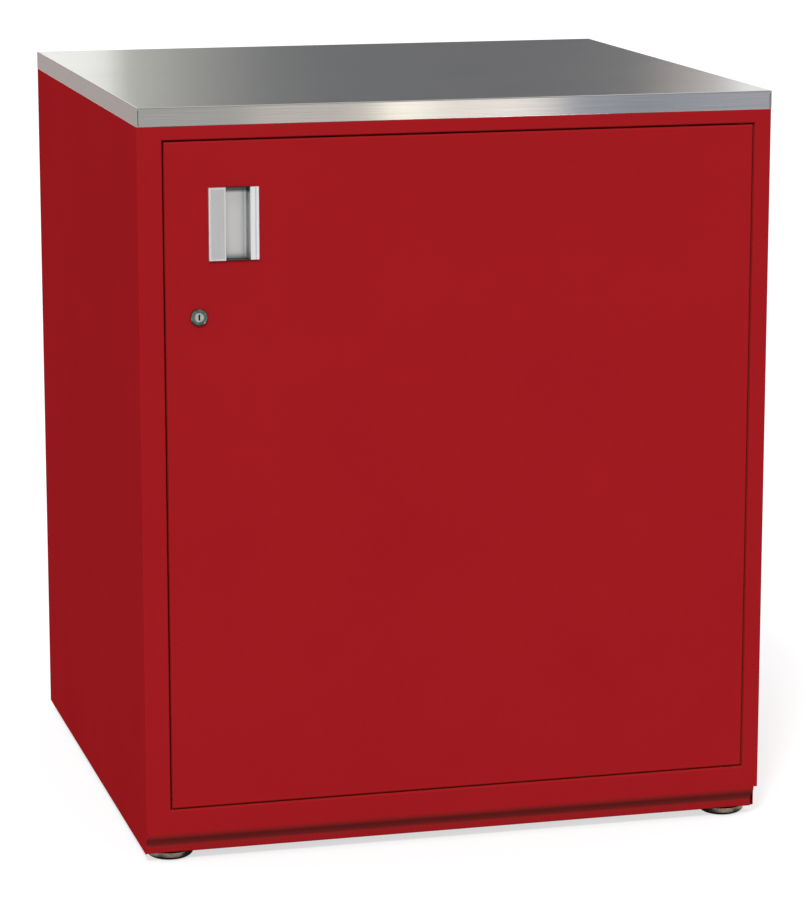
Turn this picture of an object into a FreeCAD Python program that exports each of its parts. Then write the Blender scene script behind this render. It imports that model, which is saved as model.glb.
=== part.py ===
import FreeCAD, Part
import math
import os

# A locking storage cabinet: folded steel body, inset door on pivot pins, stainless worktop.
# Sizes are in millimetres. +Z is up, the door faces -Y, and +X is the right hand of a person facing it.

# Overall size, measured from the floor
width = 762.0
depth = 711.0
height = 895.0

# Sheet, folds and clearances
sheet = 1.2
fold_radius = 0.5
door_gap = 2.2
fit = 0.3
running_fit = 0.05
press_fit = 0.02
weld_lap = 0.9

# Front frame, as seen from the front
left_stile = 29.0
right_stile = 20.5
top_rail = 16.0
bottom_rail = 27.0
kick_height = 28.0
kick_setback = 11.0
base_clearance = 11.0

# Kick, one sheet with the bottom rail, joggled back below the frame and notched at its right end
nose_drop = 6.5
jog_drop = 8.0
jog_radius = 10.0
kick_notch = 5.0
notch_behind = 4.0

# Folds of the body
back_flange = 18.0
stop_lip = 10.0
stop_gap = 2.0
rail_flange = 40.0
head_return = 45.0
cleat_leg = 30.0
base_top_flange = 18.0
base_foot_flange = 70.0
rear_flange = 24.0

# Worktop
worktop_edge = 22.0
worktop_sheet = 1.5
worktop_round = 1.6
hem = 15.0
corner_seam = 0.9
screw_past_hem = 8.0
rail_screw_pitch = 250.0
cleat_screw_pitch = 284.0
worktop_screw_bite = 14.0

# Shelf and its standards
standard_width = 16.0
standard_depth = 6.0
standard_inset = 90.0
standard_end_gap = 40.0
slot_pitch = 25.4
slot_height = 4.0
slot_width = 8.0
shelf_slot = 12
shelf_edge = 25.0
shelf_setback = 60.0
shelf_back_gap = 12.0
shelf_side_gap = 2.0
clip_ledge = 12.0
clip_sheet = 1.5
clip_width = 14.0

# Door
door_thickness = 20.0
door_lip = 15.0
door_round = 1.6
stiffener_crown = 30.0
stiffener_foot = 15.0
stiffener_depth = 15.0
stiffener_insets = (297.0, 523.0)

# Pivots
pivot_from_edge = 14.0
pivot_from_face = 8.0
pin_radius = 4.0
pin_reach = 16.0
collar_radius = 7.0
collar_height = 1.0
bush_wall = 2.0
bush_length = 20.0
block_height = 24.0
swage_radius = 6.0
swage_height = 2.0

# Flush pull, as seen from the front
pull_inset = 50.4
pull_from_top = 53.0
pull_width = 59.5
pull_height = 84.3
pull_plate = 20.7
pull_lip = 10.8
pull_overhang = 6.9
pull_proud = 2.4
pull_round = 1.9
pull_tuck = 0.4
lip_groove = 1.6
lip_groove_depth = 0.5
lip_groove_inset = 5.7
pull_depth = 15.0
pull_wall = 1.8
pull_corner = 4.0
pull_boss_width = 10.0
pull_boss_height = 3.4
pull_cap = 1.5
pull_cap_tongue = 0.6
pull_cap_shy = 0.4
bridge_sheet = 1.5
bridge_width = 14.0
bridge_spread = 48.0
bridge_foot_gap = 5.0

# Lock
lock_inset = 38.2
lock_from_top = 202.0
bezel_radius = 10.0
bezel_proud = 3.0
bezel_round = 1.8
barrel_radius = 8.75
barrel_flats = 16.0
plug_radius = 5.4
plug_recess = 0.4
plug_tail = 7.0
keyway_width = 2.0
keyway_height = 6.6
keyway_depth = 12.0
lock_nut_across = 24.0
lock_nut_height = 5.0
cam_sheet = 2.0
cam_width = 16.0
cam_behind_stop = 0.8
cam_tip_gap = 1.0

# Catch and bumpers
catch_inset = 60.0
catch_width = 44.0
catch_height = 15.0
catch_depth = 18.0
catch_screw_spread = 33.0
magnet_width = 22.0
magnet_height = 6.0
magnet_depth = 14.0
pole_sheet = 1.5
strike_sheet = 1.5
strike_height = 12.0
strike_width = 40.0
strike_rivet_spread = 31.0
bumper_radius = 3.0
bumper_inset = 94.0

# Feet
foot_from_side = 34.0
foot_from_front = 38.0
pad_radius = 27.5
pad_flat = 19.0
pad_height = 10.0
pad_rim = 5.5
pad_bulge = 1.1
pad_floor = 3.0
stud_radius = 5.0
stud_length = 25.0
stud_slot = 1.6
stud_hole_gap = 1.0
nut_radius = 9.0
nut_height = 8.0
access_radius = 6.0
plug_cap_radius = 8.5
plug_cap_height = 1.0
plug_grip = 2.4

# Screws and rivets
wood_screw_radius = 2.0
wood_screw_head = 4.0
machine_screw_radius = 2.0
machine_screw_head = 3.5
screw_head_height = 2.4
catch_screw_radius = 1.8
catch_screw_head = 3.0
catch_screw_past = 2.4
cam_screw_head = 5.0
cam_screw_length = 9.0
rivet_radius = 1.6
rivet_head = 2.8
rivet_head_height = 1.0
recess_arm_share = 0.55
recess_slot_share = 0.3
recess_depth_share = 0.5

# Planes that several pieces share
left = -width / 2
right = width / 2
front = (bezel_proud - depth) / 2
back = front + depth
worktop_under = height - worktop_edge
base_under = base_clearance
frame_bottom = base_under + kick_height
sill = frame_bottom + bottom_rail
head = worktop_under - top_rail
opening_left = left + left_stile
opening_right = right - right_stile
wall_left = left + sheet
wall_right = right - sheet
back_panel_rear = back - sheet
back_inner = back_panel_rear - sheet
kick_face = front + kick_setback
nose_low = frame_bottom - nose_drop
kick_top = nose_low - jog_drop
notch_back = kick_face + notch_behind

door_left = opening_left + door_gap
door_right = opening_right - door_gap
door_bottom = sill + door_gap
door_top = head - door_gap
door_inner = front + sheet
door_back = front + door_thickness
stop_front = door_back + stop_gap
stop_back = stop_front + sheet
pivot_x = door_right - pivot_from_edge
pivot_y = front + pivot_from_face
bush_radius = pin_radius + bush_wall

pull_x = door_left + pull_inset
pull_top = door_top - pull_from_top
pull_bottom = pull_top - pull_height
pull_middle = (pull_top + pull_bottom) / 2
trough_left = pull_plate - pull_overhang
trough_right = pull_width - pull_lip
pull_boss_back = pull_depth + pull_wall + pull_boss_height
boss_middle = (trough_left + trough_right) / 2

lock_x = door_left + lock_inset
lock_z = door_top - lock_from_top
cam_front = stop_back + cam_behind_stop
cam_back = cam_front + cam_sheet
barrel_end = stop_back - fit
cam_reach = lock_inset + door_gap - cam_tip_gap

catch_x = door_left + catch_inset
strike_back = door_back + strike_sheet
magnet_face = strike_back + fit
catch_front = strike_back + rivet_head_height + fit

standard_bottom = sill + standard_end_gap
standard_top = head - standard_end_gap
standard_length = standard_top - standard_bottom
standard_face = standard_depth + sheet
slot_count = int(standard_length / slot_pitch)
front_standard_y = front + standard_inset
rear_standard_y = back_inner - standard_inset
shelf_slot_z = standard_bottom + slot_pitch * (shelf_slot + 0.5)
ledge_top = shelf_slot_z + clip_sheet / 2
shelf_top = ledge_top + shelf_edge

foot_places = {
    "front_left": (left + foot_from_side, front + foot_from_front),
    "front_right": (right - foot_from_side, front + foot_from_front),
    "rear_left": (left + foot_from_side, back - foot_from_front),
    "rear_right": (right - foot_from_side, back - foot_from_front),
}
stud_bottom = pad_floor

Vector = FreeCAD.Vector
UP = Vector(0, 0, 1)
DOWN = Vector(0, 0, -1)
INWARD = Vector(0, 1, 0)
OUTWARD = Vector(0, -1, 0)
OVERCUT = 1.0


# Shape helpers

def box(x0, x1, y0, y1, z0, z1):
    return Part.makeBox(x1 - x0, y1 - y0, z1 - z0, Vector(x0, y0, z0))


def rod(radius, start, direction, length):
    return Part.makeCylinder(radius, length, start, direction)


def upright_rod(radius, x, y, z0, z1):
    return rod(radius, Vector(x, y, z0), UP, z1 - z0)


def inward_rod(radius, x, z, y0, y1):
    return rod(radius, Vector(x, y0, z), INWARD, y1 - y0)


def sheet_hole(radius, x, y, under):
    """The tool for a hole through a level sheet whose underside is at the given height."""
    return upright_rod(radius, x, y, under - OVERCUT, under + sheet + OVERCUT)


def cut_all(shape, tools):
    return shape.cut(Part.makeCompound(tools))


def mirrored(shape):
    return shape.mirror(Vector(0, 0, 0), Vector(1, 0, 0))


def unit(start, end):
    length = math.hypot(end[0] - start[0], end[1] - start[1])
    return ((end[0] - start[0]) / length, (end[1] - start[1]) / length)


def rounded_outline(corners, place):
    """A closed face through (u, v, radius) corners, each corner rounded by its own radius."""
    arcs = []
    for i, (u, v, radius) in enumerate(corners):
        before = unit(corners[i - 1], (u, v))
        after = unit((u, v), corners[(i + 1) % len(corners)])
        if radius == 0:
            arcs.append((place(u, v), None, place(u, v)))
            continue
        cosine = before[0] * after[0] + before[1] * after[1]
        half_turn = math.acos(max(-1.0, min(1.0, cosine))) / 2
        reach = radius * math.tan(half_turn)
        depth_in = radius / math.cos(half_turn) - radius
        inward = unit((0, 0), (after[0] - before[0], after[1] - before[1]))
        arcs.append((
            place(u - before[0] * reach, v - before[1] * reach),
            place(u + inward[0] * depth_in, v + inward[1] * depth_in),
            place(u + after[0] * reach, v + after[1] * reach),
        ))
    edges = []
    for i, (first, middle, last) in enumerate(arcs):
        if middle is not None:
            edges.append(Part.Arc(first, middle, last).toShape())
        following = arcs[(i + 1) % len(arcs)][0]
        if last.distanceToPoint(following) > 1e-6:
            edges.append(Part.makeLine(last, following))
    return Part.Face(Part.Wire(edges))


def fold(points, thickness, place, run):
    """A sheet bent along (u, v) points, lying to the right of the path, then drawn out along run.

    A point may carry its own inner bend radius as a third value.
    """
    outer = []
    inner = []
    last = len(points) - 1
    for i, point in enumerate(points):
        before = unit(points[max(i, 1) - 1], points[max(i, 1)])
        after = unit(points[min(i, last - 1)], points[min(i, last - 1) + 1])
        turn = before[0] * after[1] - before[1] * after[0]
        near = 0.0
        far = 0.0
        if 0 < i < last:
            bend = point[2] if len(point) > 2 else fold_radius
            near = bend + thickness if turn < 0 else bend
            far = bend if turn < 0 else bend + thickness
        mitre = thickness / (1 + before[0] * after[0] + before[1] * after[1])
        across_u = (before[1] + after[1]) * mitre
        across_v = -(before[0] + after[0]) * mitre
        outer.append((point[0], point[1], near))
        inner.append((point[0] + across_u, point[1] + across_v, far))
    return rounded_outline(outer + inner[::-1], place).extrude(run)


def fold_upright(points, thickness, z0, z1):
    """A fold drawn in plan as (x, y) points, standing from z0 to z1."""
    return fold(points, thickness, lambda x, y: Vector(x, y, z0), UP * (z1 - z0))


def fold_across(points, thickness, x0, x1):
    """A fold drawn in side view as (y, z) points, running from x0 to x1."""
    return fold(points, thickness, lambda y, z: Vector(x0, y, z), Vector(x1 - x0, 0, 0))


def fold_rearward(points, thickness, y0, y1):
    """A fold drawn in front view as (x, z) points, running from y0 to y1."""
    return fold(points, thickness, lambda x, z: Vector(x, y0, z), INWARD * (y1 - y0))


def edges_on(shape, plane_axis, level):
    """The edges of a shape that lie in the plane where the given axis has the given level."""
    found = []
    for edge in shape.Edges:
        levels = [getattr(vertex.Point, plane_axis) for vertex in edge.Vertexes]
        if max(abs(value - level) for value in levels) < 1e-6:
            found.append(edge)
    return found


def screw(seat, direction, shank_radius, shank_length, head_radius):
    """A pan-head screw with a cross recess; its shank leaves the seat along direction."""
    shank = rod(shank_radius, Vector(0, 0, 0), UP, shank_length)
    head_disc = rod(head_radius, Vector(0, 0, 0), DOWN, screw_head_height)
    head_disc = head_disc.makeFillet(screw_head_height / 3, edges_on(head_disc, "z", -screw_head_height))
    arm = head_radius * recess_arm_share
    slot = shank_radius * recess_slot_share
    recess = screw_head_height * recess_depth_share
    cross = [
        box(-arm, arm, -slot, slot, -screw_head_height - OVERCUT, recess - screw_head_height),
        box(-slot, slot, -arm, arm, -screw_head_height - OVERCUT, recess - screw_head_height),
    ]
    whole = cut_all(head_disc.fuse(shank), cross)
    whole.Placement = FreeCAD.Placement(seat, FreeCAD.Rotation(UP, direction))
    return whole


def hexagon(across, x, z, y0, y1):
    """A hexagonal prism lying along Y."""
    reach = across / math.sqrt(3)
    points = []
    for step in range(7):
        angle = math.radians(60 * step)
        points.append(Vector(x + reach * math.cos(angle), y0, z + reach * math.sin(angle)))
    return Part.Face(Part.makePolygon(points)).extrude(INWARD * (y1 - y0))


def flattened(radius, across, x, z, y0, y1):
    """A round bar along Y with flats at its top and bottom."""
    bar = inward_rod(radius, x, z, y0, y1)
    return bar.common(box(x - radius, x + radius, y0, y1, z - across / 2, z + across / 2))


# Body sheets

def before_kick():
    """The space in front of the kick and its joggle, for trimming the left wall to their line."""
    ahead = front - OVERCUT
    below = base_under - OVERCUT
    line = rounded_outline([
        (ahead, below, 0),
        (kick_face, below, 0),
        (kick_face, kick_top, jog_radius),
        (front, nose_low, jog_radius + sheet),
        (front, frame_bottom, 0),
        (ahead, frame_bottom, 0),
    ], lambda y, z: Vector(left - OVERCUT, y, z))
    return line.extrude(Vector(sheet + 2 * OVERCUT, 0, 0))


def side_panel(points, stile, wall_front, trims):
    """A side sheet drawn as the left one; below the frame only its wall goes on, from wall_front back."""
    panel = fold_upright(points, sheet, base_under, worktop_under)
    reach = left + stile + stop_lip + OVERCUT
    return cut_all(panel, trims + [
        box(left - OVERCUT, reach, front - OVERCUT, wall_front, base_under - OVERCUT, frame_bottom),
        box(wall_left, reach, front - OVERCUT, stop_back + OVERCUT, base_under - OVERCUT, frame_bottom),
    ])


def left_side():
    jamb = left + left_stile
    return side_panel([
        (jamb + stop_lip, stop_front),
        (jamb, stop_front),
        (jamb, front),
        (left, front),
        (left, back),
        (left + back_flange, back),
    ], left_stile, front + sheet + fold_radius, [before_kick()])


def right_side():
    jamb = left + right_stile
    return mirrored(side_panel([
        (jamb, stop_back),
        (jamb, front),
        (left, front),
        (left, back),
        (left + back_flange, back),
    ], right_stile, notch_back, []))


def back_panel():
    x0 = wall_left + fold_radius
    return box(x0, -x0, back_inner, back_panel_rear, base_under, worktop_under)


def between_stiles(shape, sides):
    """Keeps a front sheet clear of the hollow stiles and fits its ends to their rounded folds."""
    rear = stop_back + fit
    corners = [
        box(left, opening_left - weld_lap, front - OVERCUT, rear, frame_bottom, height),
        box(opening_right + weld_lap, right, front - OVERCUT, rear, frame_bottom, height),
    ]
    return cut_all(shape, corners + sides)


def floor_pan(sides):
    """One sheet: the flange for the front feet, the kick, the bottom rail, the floor and its rear fold."""
    pan = fold_across([
        (kick_face + base_foot_flange, base_under),
        (kick_face, base_under),
        (kick_face, kick_top, jog_radius),
        (front, nose_low, jog_radius),
        (front, sill),
        (back_inner, sill),
        (back_inner, sill - rear_flange),
    ], sheet, wall_left, wall_right)
    holes = [sheet_hole(pin_radius + press_fit, pivot_x, pivot_y, sill - sheet)]
    for x, y in foot_places.values():
        holes.append(sheet_hole(access_radius + press_fit, x, y, sill - sheet))
    notch = box(right - kick_notch, right, front - OVERCUT, notch_back, base_under - OVERCUT, frame_bottom)
    return cut_all(between_stiles(pan, sides), holes + foot_holes() + [notch])


def floor_plugs():
    plugs = []
    for x, y in foot_places.values():
        cap = upright_rod(plug_cap_radius, x, y, sill, sill + plug_cap_height)
        plugs.append(cap.fuse(upright_rod(access_radius, x, y, sill - sheet - plug_grip, sill)))
    return Part.makeCompound(plugs)


def foot_holes():
    radius = stud_radius + stud_hole_gap
    return [sheet_hole(radius, x, y, base_under) for x, y in foot_places.values()]


def front_base_channel():
    """A channel between the sides that ties the flange for the front feet to the floor."""
    web = kick_face + base_foot_flange
    floor_under = sill - sheet
    flange_top = base_under + sheet
    return fold_across([
        (web - base_top_flange, floor_under),
        (web, floor_under),
        (web, flange_top),
        (web - base_top_flange, flange_top),
    ], sheet, wall_left, wall_right)


def rear_base_channel():
    channel = fold_across([
        (back_inner - base_top_flange, frame_bottom),
        (back_inner, frame_bottom),
        (back_inner, base_under),
        (back_inner - base_foot_flange, base_under),
    ], sheet, wall_left, wall_right)
    return cut_all(channel, foot_holes())


def weld_nuts():
    seat = base_under + sheet
    nuts = []
    for x, y in foot_places.values():
        ring = upright_rod(nut_radius, x, y, seat, seat + nut_height)
        nuts.append(ring.cut(upright_rod(stud_radius + running_fit, x, y, seat - OVERCUT, height)))
    return Part.makeCompound(nuts)


# Worktop and the rails it is screwed to

def worktop_screw_places():
    """The (x, y) of each worktop screw, on the front rail, the rear rail and the two cleats."""
    front_y = front + hem + screw_past_hem
    rear_y = back - hem - screw_past_hem
    side_x = right - hem - screw_past_hem
    places = {"front": [], "rear": [], "left": [], "right": []}
    for x in (-rail_screw_pitch, 0.0, rail_screw_pitch):
        places["front"].append((x, front_y))
        places["rear"].append((x, rear_y))
    for y in (-cleat_screw_pitch / 2, cleat_screw_pitch / 2):
        places["left"].append((-side_x, y))
        places["right"].append((side_x, y))
    return places


def worktop_screw_holes(side, radius):
    bottom = worktop_under - sheet - OVERCUT
    return [upright_rod(radius, x, y, bottom, height) for x, y in worktop_screw_places()[side]]


def top_front_rail(sides):
    rail = fold_across([
        (front + head_return, head),
        (front, head),
        (front, worktop_under),
        (front + rail_flange, worktop_under),
    ], sheet, wall_left, wall_right)
    holes = worktop_screw_holes("front", wood_screw_radius + fit)
    for x, y in worktop_screw_places()["front"]:
        holes.append(sheet_hole(access_radius, x, y, head))
    for x, y in catch_screw_places():
        holes.append(sheet_hole(catch_screw_radius + press_fit, x, y, head))
    holes.append(sheet_hole(pin_radius + press_fit, pivot_x, pivot_y, head))
    return cut_all(between_stiles(rail, sides), holes)


def top_rear_rail():
    rail = fold_across([
        (back_inner - rail_flange, worktop_under),
        (back_inner, worktop_under),
        (back_inner, worktop_under - rail_flange),
        (back_inner - back_flange, worktop_under - rail_flange),
    ], sheet, wall_left, wall_right)
    return cut_all(rail, worktop_screw_holes("rear", wood_screw_radius + fit))


def left_cleat():
    angle = fold_rearward([
        (wall_left, worktop_under - cleat_leg),
        (wall_left, worktop_under),
        (wall_left + cleat_leg, worktop_under),
    ], sheet, front + head_return + fit, back_inner - rail_flange - fit)
    return cut_all(angle, worktop_screw_holes("left", wood_screw_radius + fit))


def worktop_skin():
    skin = box(left, right, front, back, worktop_under, height)
    skin = skin.makeFillet(worktop_round, edges_on(skin, "z", height))
    inner = worktop_sheet
    floor_level = worktop_under + worktop_sheet
    seam_top = height - worktop_round - worktop_sheet
    tools = [
        box(left + inner, right - inner, front + inner, back - inner, floor_level, height - worktop_sheet),
        box(left + hem, right - hem, front + hem, back - hem, worktop_under - OVERCUT, floor_level + OVERCUT),
    ]
    for edge_x in (left + inner, right - inner - corner_seam):
        for edge_y in (front - OVERCUT, back - inner):
            tools.append(box(edge_x, edge_x + corner_seam, edge_y, edge_y + inner + OVERCUT,
                             worktop_under - OVERCUT, seam_top))
    return cut_all(skin, tools)


def worktop_core():
    inner = worktop_sheet
    core = box(left + inner, right - inner, front + inner, back - inner,
               worktop_under + worktop_sheet, height - worktop_sheet)
    holes = []
    for places in worktop_screw_places().values():
        for x, y in places:
            top = worktop_under - sheet + worktop_screw_bite
            holes.append(upright_rod(wood_screw_radius + press_fit, x, y, worktop_under, top + OVERCUT))
    return cut_all(core, holes)


def worktop_screws():
    seat = worktop_under - sheet
    screws = []
    for places in worktop_screw_places().values():
        for x, y in places:
            at = Vector(x, y, seat)
            screws.append(screw(at, UP, wood_screw_radius, worktop_screw_bite, wood_screw_head))
    return Part.makeCompound(screws)


# Shelf

def left_standard(y_middle):
    """A slotted channel on the left wall, its legs against the wall."""
    y0 = y_middle - standard_width / 2
    y1 = y_middle + standard_width / 2
    face = left + standard_face
    strip = fold_upright([(wall_left, y1), (face, y1), (face, y0), (wall_left, y0)],
                         sheet, standard_bottom, standard_top)
    slots = []
    for index in range(slot_count):
        middle = standard_bottom + slot_pitch * (index + 0.5)
        slots.append(box(face - sheet - OVERCUT, face + OVERCUT, y_middle - slot_width / 2,
                         y_middle + slot_width / 2, middle - slot_height / 2, middle + slot_height / 2))
    return cut_all(strip, slots)


def left_clip(y_middle):
    """A bent clip: a tongue through the slot, a hook behind the web and a ledge under the shelf."""
    face = left + standard_face
    web_back = face - sheet
    half = clip_width / 2
    tongue = slot_width / 2 - fit
    ledge_under = ledge_top - clip_sheet
    hook_face = web_back - fit
    hook_back = hook_face - clip_sheet
    hook_bottom = ledge_under - slot_height
    pieces = [
        box(face, face + clip_ledge, y_middle - half, y_middle + half, ledge_under, ledge_top),
        box(face, face + clip_sheet, y_middle - half, y_middle + half, ledge_top, ledge_top + clip_ledge),
        box(hook_back, face, y_middle - tongue, y_middle + tongue, ledge_under, ledge_top),
        box(hook_back, hook_face, y_middle - tongue, y_middle + tongue, hook_bottom, ledge_under),
    ]
    whole = pieces[0]
    for piece in pieces[1:]:
        whole = whole.fuse(piece)
    return whole.removeSplitter()


def shelf_clips():
    clips = []
    for y_middle in (front_standard_y, rear_standard_y):
        clip = left_clip(y_middle)
        clips.append(clip)
        clips.append(mirrored(clip))
    return Part.makeCompound(clips)


def shelf():
    x0 = left + standard_face + shelf_side_gap
    y0 = front + shelf_setback
    y1 = back_inner - shelf_back_gap
    z0 = shelf_top - shelf_edge
    pan = box(x0, -x0, y0, y1, z0, shelf_top)
    pan = pan.makeFillet(fold_radius + sheet, edges_on(pan, "z", shelf_top))
    hollow = box(x0 + sheet, -x0 - sheet, y0 + sheet, y1 - sheet, z0 - OVERCUT, shelf_top - sheet)
    return pan.cut(hollow)


# Door

def double_d_hole():
    return flattened(barrel_radius + fit, barrel_flats + fit * 2, lock_x, lock_z,
                     front - OVERCUT, door_inner + OVERCUT)


def pull_cutout():
    return box(pull_x + trough_left - pull_wall - fit, pull_x + trough_right + pull_wall + fit,
               front - OVERCUT, door_inner + OVERCUT, pull_bottom - fit, pull_top + fit)


def door_pan():
    pan = box(door_left, door_right, front, door_back, door_bottom, door_top)
    pan = pan.makeFillet(door_round, edges_on(pan, "y", front))
    tools = [
        box(door_left + sheet, door_right - sheet, door_inner, door_back - sheet,
            door_bottom + sheet, door_top - sheet),
        box(door_left + door_lip, door_right - door_lip, door_back - sheet - OVERCUT, door_back + OVERCUT,
            door_bottom + door_lip, door_top - door_lip),
        sheet_hole(bush_radius + press_fit, pivot_x, pivot_y, door_bottom),
        sheet_hole(bush_radius + press_fit, pivot_x, pivot_y, door_top - sheet),
        double_d_hole(),
        pull_cutout(),
    ]
    lip_front = door_back - sheet
    for x, z in strike_rivet_places():
        tools.append(inward_rod(rivet_radius + press_fit, x, z, lip_front - OVERCUT, door_back + OVERCUT))
    return cut_all(pan, tools)


def door_stiffener(inset):
    middle = door_left + inset
    inner = stiffener_crown / 2
    outer = inner + stiffener_foot
    crown = door_inner + stiffener_depth
    return fold_upright([
        (middle + outer, door_inner),
        (middle + inner, door_inner),
        (middle + inner, crown),
        (middle - inner, crown),
        (middle - inner, door_inner),
        (middle - outer, door_inner),
    ], sheet, door_bottom + sheet, door_top - sheet)


def hinge_block(z0, z1):
    reach = bush_radius * 2
    block = box(pivot_x - reach, door_right - sheet, door_inner, door_back - sheet, z0, z1)
    return block.cut(upright_rod(bush_radius + press_fit, pivot_x, pivot_y, z0 - OVERCUT, z1 + OVERCUT))


def pivot_bush(edge_z, into_door):
    """A flanged bush in a door edge; into_door is +1 for the lower edge and -1 for the upper one."""
    direction = UP * into_door
    at = Vector(pivot_x, pivot_y, edge_z)
    sleeve = rod(bush_radius, at, direction, bush_length)
    flange = rod(collar_radius, at - direction * collar_height, direction, collar_height)
    bore = rod(pin_radius + running_fit, at - direction * (collar_height + OVERCUT), direction,
               bush_length + collar_height + 2 * OVERCUT)
    return sleeve.fuse(flange).cut(bore)


def pivot_pin(frame_z, into_door):
    """A collared pin swaged into the frame sheet at frame_z and reaching into the door edge."""
    direction = UP * into_door
    at = Vector(pivot_x, pivot_y, frame_z)
    collar = rod(collar_radius, at, direction, collar_height)
    pin = rod(pin_radius, at - direction * sheet, direction, sheet + door_gap + pin_reach)
    pin = pin.makeChamfer(pin_radius / 4, edges_on(pin, "z", frame_z + into_door * (door_gap + pin_reach)))
    swage = rod(swage_radius, at - direction * (sheet + swage_height), direction, swage_height)
    return collar.fuse(pin).fuse(swage)


# Flush pull

def pull_at(z):
    return lambda u, v: Vector(pull_x + u, front + v, z)


def pull_body():
    """An extrusion: a wide plate, a finger trough that runs under it, and a narrow lip."""
    edge = min(pull_round, pull_proud - pull_tuck)
    left_wall = trough_left - pull_wall
    right_wall = trough_right + pull_wall
    trough_back = pull_depth + pull_wall
    boss_left = boss_middle - pull_boss_width / 2
    boss_right = boss_middle + pull_boss_width / 2
    groove_left = trough_right + lip_groove_inset
    groove_right = groove_left + lip_groove
    groove_floor = lip_groove_depth - pull_proud
    outline = rounded_outline([
        (0, 0, 0),
        (0, -pull_proud, edge),
        (pull_plate, -pull_proud, edge),
        (pull_plate, 0, pull_tuck),
        (trough_left, 0, 0),
        (trough_left, pull_depth, pull_corner),
        (trough_right, pull_depth, pull_corner),
        (trough_right, -pull_proud, edge),
        (groove_left, -pull_proud, 0),
        (groove_left + lip_groove_depth, groove_floor, 0),
        (groove_right - lip_groove_depth, groove_floor, 0),
        (groove_right, -pull_proud, 0),
        (pull_width, -pull_proud, edge),
        (pull_width, 0, 0),
        (right_wall, 0, 0),
        (right_wall, trough_back, pull_corner + pull_wall),
        (boss_right, trough_back, 0),
        (boss_right, pull_boss_back, 0),
        (boss_left, pull_boss_back, 0),
        (boss_left, trough_back, 0),
        (left_wall, trough_back, pull_corner + pull_wall),
        (left_wall, 0, 0),
    ], pull_at(pull_bottom))
    holes = []
    for z in bridge_heights():
        holes.append(inward_rod(machine_screw_radius + press_fit, pull_x + boss_middle, z,
                                front + pull_depth + pull_wall, front + pull_boss_back + OVERCUT))
    return cut_all(outline.extrude(UP * pull_height), holes)


def pull_end_cap(end, out):
    """A cap over one end of the extrusion, with a tongue that shows in the trough; out is +1 at the top."""
    inner, outer = sorted((end - out * pull_cap_tongue, end))
    tongue = box(pull_x + pull_plate + fit, pull_x + trough_right - fit,
                 front - pull_proud + pull_cap_shy, front + pull_depth - pull_corner, inner, outer)
    inner, outer = sorted((end, end + out * pull_cap))
    plate = box(pull_x + trough_left - pull_wall, pull_x + trough_right + pull_wall,
                door_inner + fit, front + pull_depth + pull_wall, inner, outer)
    return plate.fuse(tongue)


def pull_end_caps():
    return Part.makeCompound([pull_end_cap(pull_bottom, -1), pull_end_cap(pull_top, 1)])


def bridge_heights():
    return (pull_middle - bridge_spread / 2, pull_middle + bridge_spread / 2)


def pull_bridges():
    """Two straps over the trough that draw the pull back against the door sheet."""
    outer_left = trough_left - pull_wall - bridge_foot_gap
    outer_right = trough_right + pull_wall + bridge_foot_gap
    bridges = []
    for z in bridge_heights():
        path = [
            (pull_x + outer_right, door_inner),
            (pull_x + outer_right, front + pull_boss_back),
            (pull_x + outer_left, front + pull_boss_back),
            (pull_x + outer_left, door_inner),
        ]
        strap = fold_upright(path, bridge_sheet, z - bridge_width / 2, z + bridge_width / 2)
        hole = inward_rod(machine_screw_radius + fit, pull_x + boss_middle, z, front, back)
        bridges.append(strap.cut(hole))
    return Part.makeCompound(bridges)


def pull_screws():
    seat = front + pull_boss_back + bridge_sheet
    length = bridge_sheet + pull_boss_height - fit
    screws = []
    for z in bridge_heights():
        at = Vector(pull_x + boss_middle, seat, z)
        screws.append(screw(at, OUTWARD, machine_screw_radius, length, machine_screw_head))
    return Part.makeCompound(screws)


# Lock

def lock_barrel():
    face = front - bezel_proud
    bezel = inward_rod(bezel_radius, lock_x, lock_z, face, front)
    bezel = bezel.makeFillet(bezel_round, edges_on(bezel, "y", face))
    body = flattened(barrel_radius, barrel_flats, lock_x, lock_z, front, barrel_end)
    bore = inward_rod(plug_radius + running_fit, lock_x, lock_z, face - OVERCUT, barrel_end + OVERCUT)
    return bezel.fuse(body).cut(bore)


def lock_nut():
    nut = hexagon(lock_nut_across, lock_x, lock_z, door_inner, door_inner + lock_nut_height)
    return nut.cut(inward_rod(barrel_radius + press_fit, lock_x, lock_z, front, door_back))


def cam_screw_hole():
    return inward_rod(machine_screw_radius + press_fit, lock_x, lock_z, cam_back - cam_screw_length - OVERCUT,
                      cam_back + OVERCUT)


def lock_plug():
    face = front - bezel_proud + plug_recess
    half_tail = plug_tail / 2
    plug = inward_rod(plug_radius, lock_x, lock_z, face, cam_front)
    tail = box(lock_x - half_tail, lock_x + half_tail, cam_front, cam_back - press_fit,
               lock_z - half_tail, lock_z + half_tail)
    keyway = box(lock_x - keyway_width / 2, lock_x + keyway_width / 2, face - OVERCUT, face + keyway_depth,
                 lock_z - keyway_height / 2, lock_z + keyway_height / 2)
    return cut_all(plug.fuse(tail), [keyway, cam_screw_hole()])


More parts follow.
